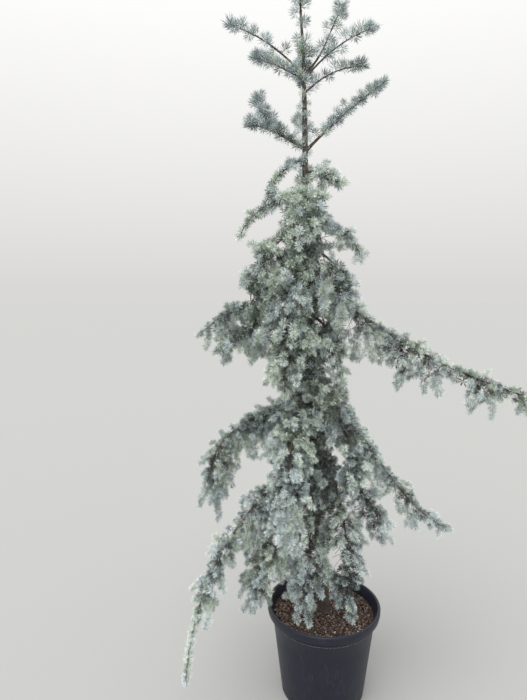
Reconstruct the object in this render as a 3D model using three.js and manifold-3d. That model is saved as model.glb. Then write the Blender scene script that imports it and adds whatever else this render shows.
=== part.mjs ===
// A young blue-grey cedar with weeping boughs, in a black nursery pot.
// Millimetres, +Z up. The origin is the centre of the pot's flat underside, and the tree is seen from -Y.
import * as THREE from "three";
import { mergeVertices } from "three/addons/utils/BufferGeometryUtils.js";
import Module from "manifold-3d";

const wasm = await Module();
wasm.setup();

// Clearance that keeps neighbouring solids apart
const gap = 0.45;

// Pot: outer radii and heights of a moulded nursery pot. Depths are measured down from the rim's top.
const pot = {
  height: 360,
  footRadius: 163,
  shoulderRadius: 203,
  rimRadius: 223,
  rimDepth: 32,
  rimDraft: 3,
  ridgeDepth: 52,
  ridgeProud: 3,
  ridgeSlope: 8,
  edge: 4,
  lipWidth: 12,
  wall: 4,
  floor: 6,
  sides: 28,
};
const compostTop = 325;

// Trunk: height, lean in x and y, and radius, from the cut at compost level to the leader's tip
const trunkStations = [
  { z: compostTop + gap, x: 0, y: 0, r: 33 },
  { z: 345, x: 0, y: 0, r: 26 },
  { z: 385, x: -2, y: 1, r: 22.5 },
  { z: 660, x: -21, y: 6, r: 20 },
  { z: 1180, x: -66, y: 12, r: 15.5 },
  { z: 1740, x: -82, y: 6, r: 13 },
  { z: 2050, x: -88, y: 2, r: 11 },
  { z: 2250, x: -92, y: -2, r: 8.5 },
  { z: 2400, x: -97, y: -4, r: 6.5 },
  { z: 2550, x: -108, y: -6, r: 4.2 },
  { z: 2628, x: -112, y: -6, r: 2.2 },
];
const flare = { top: 420, lobes: 5, depth: 0.13 };

// Limbs leave the trunk at a height. Heading is the compass angle seen from above, 0 along +X, and pitch
// is the limb's angle over the level at its base, middle and tip. A limb with a bare share is a bough of
// its own as far as its foliage; the others are hidden in their foliage from the trunk on.
const limbs = {
  leader: { height: 2480, heading: 180, length: 172, pitch: [86, 86, 88] },
  heart: { height: 2325, heading: 180, length: 150, pitch: [88, 88, 86] },
  top_left: { height: 2352, heading: 180, length: 335, pitch: [46, 33, 10], thick: 9, bare: 0.38 },
  top_left_low: { height: 2336, heading: 196, length: 210, pitch: [26, 16, 6] },
  top_right_steep: { height: 2358, heading: 4, length: 290, pitch: [36, 66, 50], thick: 9, bare: 0.3 },
  top_right_flat: { height: 2338, heading: -22, length: 300, pitch: [46, 28, 4], thick: 8, bare: 0.36 },
  top_right_low: { height: 2290, heading: -4, length: 250, pitch: [46, 22, -8], thick: 8, bare: 0.22 },
  top_back: { height: 2318, heading: 88, length: 290, pitch: [42, 36, 18] },
  right_rising: { height: 2092, heading: 4, length: 390, pitch: [47, 40, 38], thick: 12, bare: 0.24 },
  left_rising: { height: 2108, heading: 178, length: 275, pitch: [22, 45, 84], thick: 11, bare: 0.42 },
  left_rising_low: { height: 2098, heading: 186, length: 238, pitch: [28, 24, -6] },
  upper_back: { height: 2150, heading: 92, length: 330, pitch: [38, 26, 8] },
  arch_left_upper: { height: 2070, heading: 182, length: 200, pitch: [-25, -42, -88] },
  arch_left_long: { height: 1978, heading: 178, length: 315, pitch: [-32, -31, -74] },
  right_short: { height: 2022, heading: -14, length: 150, pitch: [4, -22, -74] },
  column_front: { height: 1962, heading: 272, length: 250, pitch: [-10, -62, -86] },
  arch_right: { height: 1850, heading: -6, length: 275, pitch: [-6, -32, -84] },
  arch_back_left: { height: 2010, heading: 102, length: 320, pitch: [0, -36, -76] },
  arch_back_right: { height: 1885, heading: 66, length: 330, pitch: [-6, -38, -74] },
  left_mid: { height: 1822, heading: 201, length: 385, pitch: [-14, -52, -94] },
  front_mid: { height: 1750, heading: 248, length: 620, pitch: [-12, -74, -90] },
  right_mid: { height: 1752, heading: -34, length: 310, pitch: [-10, -52, -84] },
  left_layer: { height: 1602, heading: 186, length: 445, pitch: [-14, -20, -46] },
  left_layer_low: { height: 1545, heading: 194, length: 395, pitch: [-18, -24, -44] },
  right_long: { height: 1660, heading: -8, length: 975, pitch: [-40, -29, -14], thick: 17, bare: 0.12 },
  waist_right: { height: 1508, heading: -46, length: 340, pitch: [-10, -60, -88] },
  back_mid_left: { height: 1690, heading: 136, length: 430, pitch: [-8, -32, -66] },
  back_mid_right: { height: 1600, heading: 70, length: 450, pitch: [-8, -34, -68] },
  back_mid_centre: { height: 1440, heading: 98, length: 480, pitch: [-8, -40, -78] },
  left_low: { height: 1185, heading: 182, length: 560, pitch: [-20, -34, -104], thick: 15, bare: 0.14 },
  right_low: { height: 1190, heading: -4, length: 770, pitch: [-20, -54, -22], thick: 16, bare: 0.11 },
  right_inner: { height: 985, heading: -30, length: 450, pitch: [-30, -42, -94] },
  front_left: { height: 1225, heading: 250, length: 520, pitch: [-12, -58, -88] },
  front_right: { height: 1290, heading: 305, length: 520, pitch: [-14, -60, -88] },
  left_weeping: { height: 930, heading: 212, length: 960, pitch: [-8, -54, -86], thick: 16, bare: 0.12 },
  left_low_front: { height: 890, heading: 223, length: 560, pitch: [-14, -54, -90] },
  front_low_left: { height: 960, heading: 262, length: 640, pitch: [-18, -76, -86] },
  front_skirt: { height: 1010, heading: 298, length: 680, pitch: [-14, -74, -76] },
  back_low_left: { height: 1150, heading: 142, length: 510, pitch: [-12, -30, -70] },
  back_low_centre: { height: 1060, heading: 100, length: 640, pitch: [-12, -46, -82] },
  back_low_right: { height: 1130, heading: 48, length: 600, pitch: [-10, -44, -80] },
};
const boughTaper = 0.75;

// Foliage masses: the stretch of the limb that each one covers, its half width, and its depth over and
// under the limb. A span past 1 is the reach of the needles beyond the limb's tip. A mass follows the
// limb of its own name, or the limb that it names.
const masses = {
  leader: { span: [0.02, 1.02], wide: 44, over: 46, under: 40 },
  heart: { span: [0, 1], wide: 54, over: 50, under: 52 },
  top_left: { span: [0.32, 1.07], wide: 32, over: 33, under: 28 },
  top_left_low: { span: [0.08, 1.08], wide: 40, over: 27, under: 30 },
  top_right_steep: { span: [0.26, 1.07], wide: 33, over: 34, under: 34 },
  top_right_flat: { span: [0.32, 1.07], wide: 32, over: 30, under: 28 },
  top_right_low: { span: [0.16, 1.08], wide: 34, over: 34, under: 28 },
  top_back: { span: [0.08, 1.07], wide: 44, over: 33, under: 30 },
  right_rising: { span: [0.18, 1.06], wide: 44, over: 37, under: 38 },
  left_rising: { span: [0.38, 1.1], wide: 32, over: 32, under: 34 },
  left_rising_low: { span: [0.1, 1.08], wide: 40, over: 26, under: 30 },
  upper_back: { span: [0, 1.06], wide: 48, over: 32, under: 36 },
  arch_left_upper: { span: [0, 1.12], wide: 38, over: 28, under: 32 },
  arch_left_long: { span: [0, 1.08], wide: 42, over: 28, under: 34 },
  right_short: { span: [0, 1.14], wide: 48, over: 34, under: 40 },
  column_front: { span: [0, 1.08], wide: 68, over: 40, under: 55 },
  arch_right: { span: [0, 1.1], wide: 42, over: 28, under: 36 },
  arch_back_left: { span: [0, 1.07], wide: 74, over: 32, under: 54 },
  arch_back_right: { span: [0, 1.07], wide: 76, over: 32, under: 58 },
  left_mid: { span: [0, 1.08], wide: 72, over: 40, under: 62 },
  front_mid: { span: [0, 1.04], wide: 82, over: 42, under: 60 },
  right_mid: { span: [0, 1.06], wide: 66, over: 38, under: 62 },
  left_layer: { span: [0, 1.05], wide: 74, over: 28, under: 36 },
  left_layer_low: { span: [0, 1.06], wide: 78, over: 26, under: 44 },
  right_long_inner: { limb: "right_long", span: [0.09, 0.36], wide: 60, over: 32, under: 112 },
  right_long_middle: { limb: "right_long", span: [0.31, 0.68], wide: 58, over: 34, under: 140 },
  right_long_tip: { limb: "right_long", span: [0.64, 1.04], wide: 48, over: 34, under: 88 },
  waist_right: { span: [0, 1.06], wide: 70, over: 38, under: 66 },
  back_mid_left: { span: [0, 1.05], wide: 92, over: 34, under: 66 },
  back_mid_right: { span: [0, 1.05], wide: 92, over: 34, under: 70 },
  back_mid_centre: { span: [0, 1.05], wide: 98, over: 36, under: 66 },
  left_low_inner: { limb: "left_low", span: [0.12, 0.62], wide: 78, over: 30, under: 68 },
  left_low_tip: { limb: "left_low", span: [0.56, 1.06], wide: 64, over: 38, under: 84 },
  right_low_inner: { limb: "right_low", span: [0.1, 0.56], wide: 74, over: 32, under: 80 },
  right_low_tip: { limb: "right_low", span: [0.5, 1.04], wide: 50, over: 30, under: 54 },
  right_inner: { span: [0.04, 1.05], wide: 66, over: 38, under: 62 },
  front_left: { span: [0, 1.04], wide: 92, over: 42, under: 62 },
  front_right: { span: [0, 1.04], wide: 86, over: 42, under: 62 },
  left_weeping_inner: { limb: "left_weeping", span: [0.1, 0.46], wide: 82, over: 34, under: 62 },
  left_weeping_middle: { limb: "left_weeping", span: [0.4, 0.74], wide: 74, over: 36, under: 48 },
  left_weeping_tip: { limb: "left_weeping", span: [0.7, 1.03], wide: 27, over: 25, under: 25 },
  left_low_front: { span: [0, 1.04], wide: 96, over: 42, under: 60 },
  front_low_left: { span: [0, 1.03], wide: 74, over: 38, under: 50 },
  front_skirt: { span: [0, 1.03], wide: 86, over: 40, under: 60 },
  back_low_left: { span: [0, 1.05], wide: 96, over: 34, under: 60 },
  back_low_centre: { span: [0, 1.05], wide: 112, over: 36, under: 72 },
  back_low_right: { span: [0, 1.05], wide: 100, over: 36, under: 70 },
};

// A mass bulges most near its middle, and its ends are blunt. Waves round it and along it make it uneven:
// each has a share of the half width, waves in a turn round the limb, and the angle it shifts by on its way.
const shape = { fullestLeast: 0.75, fullestSpread: 0.3, bluntness: 0.34 };
const lumps = [
  { share: 0.14, round: 2, along: 3 },
  { share: 0.12, round: 3, along: -8 },
  { share: 0.12, round: 0, along: 9 },
  { share: 0.06, round: 0, along: 17 },
];

// Facets
const limbSteps = 24;
const trunkSides = 10;
const boughSides = 6;
const boughRings = 4;
const massSides = 8;
const massRings = 7;

const paint = {
  pot: new THREE.MeshStandardMaterial({ color: 0x2b2e33, roughness: 0.55, metalness: 0 }),
  compost: new THREE.MeshStandardMaterial({ color: 0x4a3a30, roughness: 0.95, metalness: 0 }),
  bark: new THREE.MeshStandardMaterial({ color: 0x7d6c62, roughness: 0.9, metalness: 0 }),
  needles: new THREE.MeshStandardMaterial({ color: 0x92aaa3, roughness: 0.7, metalness: 0 }),
};

// A seeded source of numbers from 0 to 1
function dice(seed) {
  let state = seed >>> 0;
  return () => {
    state = (state + 0x6d2b79f5) >>> 0;
    let n = Math.imul(state ^ (state >>> 15), 1 | state);
    n = (n + Math.imul(n ^ (n >>> 7), 61 | n)) ^ n;
    return ((n ^ (n >>> 14)) >>> 0) / 2 ** 32;
  };
}

// The trunk's centre and radius at a height
function trunkAt(z) {
  const last = trunkStations.length - 1;
  let i = 1;
  while (i < last && trunkStations[i].z < z) i++;
  const low = trunkStations[i - 1];
  const high = trunkStations[i];
  const share = THREE.MathUtils.clamp((z - low.z) / (high.z - low.z), 0, 1);
  const mix = (key) => THREE.MathUtils.lerp(low[key], high[key], share);
  return { centre: new THREE.Vector3(mix("x"), mix("y"), z), radius: mix("r") };
}

// A limb's line, walked in equal steps from the trunk, with its frame at any share of its length
function limbLine({ height, heading, length, pitch: [base, middle, tip] }) {
  const compass = THREE.MathUtils.degToRad(heading);
  const side = new THREE.Vector3(-Math.sin(compass), Math.cos(compass), 0);
  const directionAt = (t) => {
    const s = THREE.MathUtils.clamp(t, 0, 1);
    const degrees = base * (1 - s) * (1 - 2 * s) + middle * 4 * s * (1 - s) + tip * s * (2 * s - 1);
    const rise = THREE.MathUtils.degToRad(degrees);
    const level = Math.cos(rise);
    return new THREE.Vector3(level * Math.cos(compass), level * Math.sin(compass), Math.sin(rise));
  };
  const points = [trunkAt(height).centre];
  for (let i = 0; i < limbSteps; i++) {
    const step = directionAt((i + 0.5) / limbSteps).multiplyScalar(length / limbSteps);
    points.push(points[i].clone().add(step));
  }
  const curve = new THREE.CatmullRomCurve3(points);
  return (t) => {
    const inside = THREE.MathUtils.clamp(t, 0, 1);
    const direction = directionAt(inside);
    const point = curve.getPoint(inside).addScaledVector(direction, (t - inside) * length);
    return { point, side, up: direction.cross(side) };
  };
}

// Turns a closed three.js geometry into a solid. Its seams are merged while it is still a plain unit shape,
// and each vertex is then moved by a function.
function solidFrom(geometry, place) {
  geometry.deleteAttribute("normal");
  geometry.deleteAttribute("uv");
  const merged = mergeVertices(geometry);
  const position = merged.getAttribute("position");
  const vertex = new THREE.Vector3();
  for (let i = 0; i < position.count; i++) {
    vertex.copy(place(vertex.fromBufferAttribute(position, i)));
    position.setXYZ(i, vertex.x, vertex.y, vertex.z);
  }
  return new wasm.Manifold(
    new wasm.Mesh({
      numProp: 3,
      vertProperties: position.array,
      triVerts: new Uint32Array(merged.index.array),
    }),
  );
}

// A unit cylinder bent onto a line of rings: the ring's frame and its radius at each share of the length
function taperedSolid(ringAt, radiusAt, sides, rings) {
  const cylinder = new THREE.CylinderGeometry(1, 1, 1, sides, rings);
  return solidFrom(cylinder, (v) => {
    const t = v.y + 0.5;
    const reach = Math.hypot(v.x, v.z);
    const angle = Math.atan2(v.z, v.x);
    const { point, side, up } = ringAt(t);
    const radius = reach * radiusAt(t, angle);
    return point
      .clone()
      .addScaledVector(side, radius * Math.sin(angle))
      .addScaledVector(up, radius * Math.cos(angle));
  });
}

// The trunk has a ring at each station. Grown by a little, it cuts its own room in boughs and masses.
function trunkSolid(grow) {
  const rings = trunkStations.length - 1;
  const foot = trunkStations[0].z;
  const top = trunkStations[rings].z;
  const heightAt = (t) => trunkStations[Math.round(t * rings)].z;
  const ringAt = (t) => {
    const z = heightAt(t);
    const { centre } = trunkAt(z);
    if (z === top) centre.z += grow;
    if (z === foot) centre.z -= grow;
    return { point: centre, side: new THREE.Vector3(1, 0, 0), up: new THREE.Vector3(0, 1, 0) };
  };
  const radiusAt = (t, angle) => {
    const z = heightAt(t);
    const spread = flare.depth * Math.max(0, (flare.top - z) / (flare.top - foot));
    return trunkAt(z).radius * (1 + spread * Math.sin(flare.lobes * angle)) + grow;
  };
  return taperedSolid(ringAt, radiusAt, trunkSides, rings);
}

function boughSolid(limb, grow) {
  const line = limbLine(limb);
  const end = limb.bare + grow / limb.length;
  const radiusAt = (t) => (limb.thick / 2) * (1 - boughTaper * t * end) + grow;
  return taperedSolid((t) => line(t * end), radiusAt, boughSides, boughRings);
}

// A unit ball bent along its limb, from pole to pole
function massSolid(name, { limb = name, span: [start, end], wide, over, under }, seed, grow) {
  const line = limbLine(limbs[limb]);
  const roll = dice(seed);
  const phases = lumps.map(() => 2 * Math.PI * roll());
  const fullest = shape.fullestLeast + shape.fullestSpread * roll();
  const overrun = grow / limbs[limb].length;
  const ball = new THREE.SphereGeometry(1, massSides, massRings);
  return solidFrom(ball, (v) => {
    const t = Math.acos(THREE.MathUtils.clamp(-v.y, -1, 1)) / Math.PI;
    const angle = Math.atan2(v.z, v.x);
    const belly = Math.sin(Math.PI * t ** fullest) ** shape.bluntness;
    const waves = lumps.map((w, i) => w.share * Math.sin(w.round * angle + w.along * t + phases[i]));
    const size = belly * (1 + waves.reduce((sum, wave) => sum + wave));
    const depth = Math.cos(angle) > 0 ? over : under;
    const extra = t > 0 && t < 1 ? grow : 0;
    const { point, side, up } = line(start - overrun + (end - start + 2 * overrun) * t);
    return point
      .clone()
      .addScaledVector(side, (wide * size + extra) * Math.sin(angle))
      .addScaledVector(up, (depth * size + extra) * Math.cos(angle));
  });
}

function latheSolid(profile) {
  const points = profile.map(([r, z]) => new THREE.Vector2(r, z));
  const lathe = new THREE.LatheGeometry(points, pot.sides);
  return solidFrom(lathe, (v) => new THREE.Vector3(v.x, -v.z, v.y));
}

// The outside of the pot's wall under the rim, at a height
function potRadius(z) {
  return THREE.MathUtils.lerp(pot.footRadius, pot.shoulderRadius, z / (pot.height - pot.rimDepth));
}

function potSolid() {
  const rimFoot = pot.height - pot.rimDepth;
  const ridge = pot.height - pot.ridgeDepth;
  return latheSolid([
    [0, 0],
    [pot.footRadius - pot.edge, 0],
    [pot.footRadius, pot.edge],
    [potRadius(ridge - pot.ridgeSlope), ridge - pot.ridgeSlope],
    [potRadius(ridge) + pot.ridgeProud, ridge],
    [potRadius(rimFoot) + pot.ridgeProud, rimFoot - pot.edge],
    [pot.rimRadius - pot.rimDraft, rimFoot],
    [pot.rimRadius, pot.height - pot.edge],
    [pot.rimRadius - pot.rimDraft, pot.height],
    [pot.rimRadius - pot.lipWidth, pot.height],
    [potRadius(rimFoot) - pot.wall, rimFoot],
    [potRadius(pot.floor) - pot.wall, pot.floor],
    [0, pot.floor],
  ]);
}

function compostSolid() {
  const inside = (z) => potRadius(z) - pot.wall - gap;
  const bottom = pot.floor + gap;
  return latheSolid([
    [0, bottom],
    [inside(bottom), bottom],
    [inside(compostTop), compostTop],
    [0, compostTop],
  ]);
}

function biggestPiece(solid) {
  const pieces = solid.decompose();
  return pieces.reduce((best, piece) => (piece.volume() > best.volume() ? piece : best));
}

const tree = new THREE.Group();

function addMesh(name, solid, material) {
  const { numProp, vertProperties, triVerts } = solid.getMesh();
  const count = vertProperties.length / numProp;
  const xyz = new Float32Array(count * 3);
  for (let i = 0; i < count; i++) {
    xyz.set(vertProperties.subarray(i * numProp, i * numProp + 3), i * 3);
  }
  const geometry = new THREE.BufferGeometry();
  geometry.setAttribute("position", new THREE.BufferAttribute(xyz, 3));
  geometry.setIndex(new THREE.BufferAttribute(triVerts, 1));
  geometry.computeVertexNormals();
  const mesh = new THREE.Mesh(geometry, material);
  mesh.name = name;
  tree.add(mesh);
}

addMesh("pot", potSolid(), paint.pot);
addMesh("compost", compostSolid(), paint.compost);
addMesh("trunk", trunkSolid(0), paint.bark);

// Each bough is cut back from the trunk, and each mass from the trunk, the boughs and the masses before it
const cutters = [trunkSolid(gap)];
for (const [name, limb] of Object.entries(limbs)) {
  if (!limb.bare) continue;
  let bough = boughSolid(limb, 0);
  for (const cutter of cutters) bough = bough.subtract(cutter);
  addMesh(`bough_${name}`, biggestPiece(bough), paint.bark);
  cutters.push(boughSolid(limb, gap));
}
Object.entries(masses).forEach(([name, mass], i) => {
  const seed = i + 1;
  let foliage = massSolid(name, mass, seed, 0);
  for (const cutter of cutters) foliage = foliage.subtract(cutter);
  addMesh(`foliage_${name}`, biggestPiece(foliage), paint.needles);
  cutters.push(massSolid(name, mass, seed, gap));
});

export default tree;
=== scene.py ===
# A young blue-grey cedar with weeping boughs, in a black nursery pot of bark compost.
# Metres, Z up, the pot's underside at the origin. Limbs leave the trunk by the same rule as in the
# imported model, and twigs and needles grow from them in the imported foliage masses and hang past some.
import math
import random
from functools import partial

import bmesh
import bpy
import numpy as np
from mathutils import Matrix, Vector, noise
from mathutils.bvhtree import BVHTree


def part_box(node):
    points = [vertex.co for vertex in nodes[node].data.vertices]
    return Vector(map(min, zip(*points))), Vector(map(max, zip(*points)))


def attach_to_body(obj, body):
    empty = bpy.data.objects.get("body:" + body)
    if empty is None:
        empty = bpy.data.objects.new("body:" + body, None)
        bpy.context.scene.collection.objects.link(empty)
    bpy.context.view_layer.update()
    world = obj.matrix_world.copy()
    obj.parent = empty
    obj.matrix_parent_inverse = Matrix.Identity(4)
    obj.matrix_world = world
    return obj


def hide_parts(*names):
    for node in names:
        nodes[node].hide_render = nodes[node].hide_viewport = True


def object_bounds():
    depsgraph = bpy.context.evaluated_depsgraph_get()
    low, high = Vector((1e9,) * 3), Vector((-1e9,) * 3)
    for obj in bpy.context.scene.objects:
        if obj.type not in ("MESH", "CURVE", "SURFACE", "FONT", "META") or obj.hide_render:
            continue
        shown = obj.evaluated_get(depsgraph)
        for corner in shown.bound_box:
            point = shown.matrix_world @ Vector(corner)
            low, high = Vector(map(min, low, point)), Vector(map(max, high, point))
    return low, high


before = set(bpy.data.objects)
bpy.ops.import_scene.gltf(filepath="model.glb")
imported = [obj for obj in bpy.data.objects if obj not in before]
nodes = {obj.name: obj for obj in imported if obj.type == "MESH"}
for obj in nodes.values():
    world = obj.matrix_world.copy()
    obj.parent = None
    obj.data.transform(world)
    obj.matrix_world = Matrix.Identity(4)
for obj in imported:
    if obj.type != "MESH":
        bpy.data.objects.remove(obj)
cadLow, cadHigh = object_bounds()
mm = 0.001
up = Vector((0, 0, 1))
fullTurn = 2 * math.pi
goldenTurn = math.radians(137.5)
multiply = {"data_type": "RGBA", "blend_type": "MULTIPLY"}  # settings of a node that mixes colours


# From a hex colour in sRGB to the linear values that Blender takes
def linear(hexColour):
    channels = [int(hexColour[i:i + 2], 16) / 255 for i in (1, 3, 5)]
    return tuple(c / 12.92 if c <= 0.04045 else ((c + 0.055) / 1.055) ** 2.4 for c in channels) + (1,)


# The scale of a pattern that repeats about every so many millimetres
def scaleFor(size):
    return 1 / (size * mm)


# An input is named, or numbered as _0. It takes a value, another node's output, or a node's first output.
def setInputs(owner, node, **inputs):
    for name, value in inputs.items():
        socket = node.inputs[int(name[1:]) if name[0] == "_" else name.replace("_", " ")]
        source = value.outputs[0] if isinstance(value, bpy.types.Node) else value
        if isinstance(source, bpy.types.NodeSocket):
            owner.node_tree.links.new(source, socket)
        else:
            socket.default_value = source


# Adds a node to a material or world. A ramp's stops are places with a hex colour or a plain grey.
def addNode(owner, kind, settings=None, stops=(), **inputs):
    node = owner.node_tree.nodes.new("ShaderNode" + kind)
    for name, value in (settings or {}).items():
        setattr(node, name, value)
    while stops and len(node.color_ramp.elements) < len(stops):
        node.color_ramp.elements.new(0.5)
    for number, (place, colour) in enumerate(stops):
        element = node.color_ramp.elements[number]
        element.position = place
        element.color = linear(colour) if isinstance(colour, str) else (colour, colour, colour, 1)
    setInputs(owner, node, **inputs)
    return node


def newMaterial(name, colour, roughness, ior=1.5):
    material = bpy.data.materials.new(name)
    material.use_nodes = True
    shader = material.node_tree.nodes["Principled BSDF"]
    setInputs(material, shader, Base_Color=linear(colour), Roughness=roughness, IOR=ior)
    return material, shader


# Turns a bmesh into an object with its faces outwards
def finishMesh(bm, name, materials, smooth=True):
    bmesh.ops.recalc_face_normals(bm, faces=bm.faces)
    for face in bm.faces:
        face.smooth = smooth
    mesh = bpy.data.meshes.new(name)
    bm.to_mesh(mesh)
    bm.free()
    return newObject(name, mesh, materials)


def newObject(name, data, materials=()):
    for material in materials:
        data.materials.append(material)
    piece = bpy.data.objects.new(name, data)
    bpy.context.scene.collection.objects.link(piece)
    return piece


# A joined mesh of triangles, each with the number of its plain colour
def meshFromArrays(name, points, faces, tints, materials):
    mesh = bpy.data.meshes.new(name)
    mesh.vertices.add(len(points))
    mesh.vertices.foreach_set("co", np.asarray(points, np.float32).ravel())
    mesh.loops.add(faces.size)
    mesh.loops.foreach_set("vertex_index", np.asarray(faces, np.int32).ravel())
    mesh.polygons.add(len(faces))
    mesh.polygons.foreach_set("loop_start", np.arange(0, faces.size, 3, dtype=np.int32))
    mesh.polygons.foreach_set("material_index", np.asarray(tints, np.int32))
    mesh.update(calc_edges=True)
    return newObject(name, mesh, materials)


def attach(piece, replaced=()):
    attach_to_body(piece, "root")
    if replaced:
        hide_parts(*replaced)
    print(piece.name, len(piece.data.polygons), "faces")


# Studio: the camera stands where the photo was taken from, under a wide soft sky

studio = {
    "eye": (-0.239, -1.977, 1.6),
    "lookDown": 6.6,  # degrees
    "lens": 27.15,
    "sensor": 36,
    "floor": "#A2A2A0",
    "floorSize": 60,
    "zenith": "#FFFFFF",
    "horizon": "#C1C0BE",
    "skyStrength": 1.3,
    "sunStrength": 2.3,
    "sunSpread": 60,  # degrees across: as soft as light through cloud
    "sunFrom": (-0.35, -0.5, 1.0),
}


def makeStudio():
    data = bpy.data.cameras.new("camera")
    data.lens = studio["lens"]
    data.sensor_width = studio["sensor"]
    eye = newObject("camera", data)
    eye.location = studio["eye"]
    eye.rotation_euler = (math.radians(90 - studio["lookDown"]), 0, 0)
    bpy.context.scene.camera = eye

    bm = bmesh.new()
    bmesh.ops.create_grid(bm, x_segments=1, y_segments=1, size=studio["floorSize"])
    paleFloor = newMaterial("paleFloor", studio["floor"], 0.95)[0]
    floor = finishMesh(bm, "studio_floor", [paleFloor], smooth=False)

    world = bpy.data.worlds.new("overcast")
    bpy.context.scene.world = world
    world.use_nodes = True
    skyward = addNode(world, "TexCoord").outputs["Generated"]
    height = addNode(world, "SeparateXYZ", Vector=skyward).outputs["Z"]
    climb = addNode(world, "MapRange", Value=height, From_Min=0.0, From_Max=0.9)
    shade = addNode(world, "Mix", {"data_type": "RGBA"}, Factor=climb,
                    _6=linear(studio["horizon"]), _7=linear(studio["zenith"])).outputs[2]
    sky = world.node_tree.nodes["Background"]
    setInputs(world, sky, Color=shade, Strength=studio["skyStrength"])

    sun = bpy.data.lights.new("cloudLight", "SUN")
    sun.energy = studio["sunStrength"]
    sun.angle = math.radians(studio["sunSpread"])
    light = newObject("cloudLight", sun)
    light.rotation_euler = Vector(studio["sunFrom"]).to_track_quat("Z", "Y").to_euler()
    bpy.context.scene.view_settings.view_transform = "Standard"
    print("studio ready")


# Trunk and limbs, in millimetres as measured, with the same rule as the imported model's

trunk = {
    "stations": [  # height, lean in x and y, radius
        (325.45, 0, 0, 33), (345, 0, 0, 26), (385, -2, 1, 22.5), (660, -21, 6, 20),
        (1180, -66, 12, 15.5), (1740, -82, 6, 13), (2050, -88, 2, 11), (2250, -92, -2, 8.5),
        (2400, -97, -4, 6.5), (2550, -108, -6, 4.2), (2628, -112, -6, 2.2),
    ],
    "flareTop": 420,
    "flareLobes": 5,
    "flareDepth": 0.13,
    "sides": 30,
    "ringStep": 7,
    "relief": 0.6,  # height of the bark's ridges
    "reliefStretch": 0.22,
    "patternStretch": 0.16,
}
limbs = {  # height on the trunk, compass heading, length, pitch at base, middle and tip, thickness
    "leader": (2480, 180, 172, (86, 86, 88), 5),
    "heart": (2325, 180, 150, (88, 88, 86), 5),
    "top_left": (2352, 180, 335, (46, 33, 10), 9),
    "top_left_low": (2336, 196, 210, (26, 16, 6), 7),
    "top_right_steep": (2358, 4, 290, (36, 66, 50), 9),
    "top_right_flat": (2338, -22, 300, (46, 28, 4), 8),
    "top_right_low": (2290, -4, 250, (46, 22, -8), 8),
    "top_back": (2318, 88, 290, (42, 36, 18), 8),
    "right_rising": (2092, 4, 390, (47, 40, 38), 12),
    "left_rising": (2108, 178, 275, (22, 45, 84), 11),
    "left_rising_low": (2098, 186, 238, (28, 24, -6), 8),
    "upper_back": (2150, 92, 330, (38, 26, 8), 9),
    "arch_left_upper": (2070, 182, 200, (-25, -42, -88), 9),
    "arch_left_long": (1978, 178, 315, (-32, -31, -74), 11),
    "right_short": (2022, -14, 150, (4, -22, -74), 8),
    "column_front": (1962, 272, 250, (-10, -62, -86), 10),
    "arch_right": (1850, -6, 275, (-6, -32, -84), 10),
    "arch_back_left": (2010, 102, 320, (0, -36, -76), 11),
    "arch_back_right": (1885, 66, 330, (-6, -38, -74), 11),
    "left_mid": (1822, 201, 385, (-14, -52, -94), 12),
    "front_mid": (1750, 248, 620, (-12, -74, -90), 13),
    "right_mid": (1752, -34, 310, (-10, -52, -84), 11),
    "left_layer": (1602, 186, 445, (-14, -20, -46), 13),
    "left_layer_low": (1545, 194, 395, (-18, -24, -44), 12),
    "right_long": (1660, -8, 975, (-40, -29, -14), 17),
    "waist_right": (1508, -46, 340, (-10, -60, -88), 12),
    "back_mid_left": (1690, 136, 430, (-8, -32, -66), 13),
    "back_mid_right": (1600, 70, 450, (-8, -34, -68), 13),
    "back_mid_centre": (1440, 98, 480, (-8, -40, -78), 13),
    "left_low": (1185, 182, 560, (-20, -34, -104), 15),
    "right_low": (1190, -4, 770, (-20, -54, -22), 16),
    "right_inner": (985, -30, 450, (-30, -42, -94), 12),
    "front_left": (1225, 250, 520, (-12, -58, -88), 14),
    "front_right": (1290, 305, 520, (-14, -60, -88), 14),
    "left_weeping": (930, 212, 960, (-8, -54, -86), 16),
    "left_low_front": (890, 223, 560, (-14, -54, -90), 14),
    "front_low_left": (960, 262, 640, (-18, -76, -86), 14),
    "front_skirt": (1010, 298, 680, (-14, -74, -76), 14),
    "back_low_left": (1150, 142, 510, (-12, -30, -70), 14),
    "back_low_centre": (1060, 100, 640, (-12, -46, -82), 15),
    "back_low_right": (1130, 48, 600, (-10, -44, -80), 14),
}
limbShape = {
    "taper": 0.75,
    "steps": 96,
    "sides": 9,
    "ringStep": 10,
    "collar": 0.45,  # a limb is this share thicker where it joins the trunk
    "collarLength": 14,
    "relief": 0.35,
}
ridges = {"apart": 6.25, "falloff": 0.8, "finer": 2.1, "octaves": 3}  # the noise that raises the bark


# Dry bark: fissures about 2 mm wide, longer along the stem, with paler ridges and grey patches between
def barkMaterial(name, stretch):
    material, shader = newMaterial(name, "#5C554E", 0.88)
    add = partial(addNode, material)
    place = add("TexCoord").outputs["Object"]
    along = add("Mapping", Vector=place, Scale=(1, 1, stretch))
    fissures = add("TexNoise", Vector=along, Scale=scaleFor(2.38), Detail=5.0, Roughness=0.6)
    patches = add("TexNoise", Vector=place, Scale=scaleFor(26.3), Detail=3.0)
    pale = add("ValToRGB", _0=fissures, stops=[(0.32, "#2A2622"), (0.5, "#5C534C"), (0.72, "#8A827A")])
    grey = add("ValToRGB", _0=patches, stops=[(0.35, "#9C8F84"), (0.65, "#C9C7C4")])
    colour = add("Mix", multiply, Factor=0.6, _6=pale, _7=grey).outputs[2]
    bump = add("Bump", Strength=0.55, Distance=0.7 * mm, Height=fissures)
    setInputs(material, shader, Base_Color=colour, Normal=bump)
    return material


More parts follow.
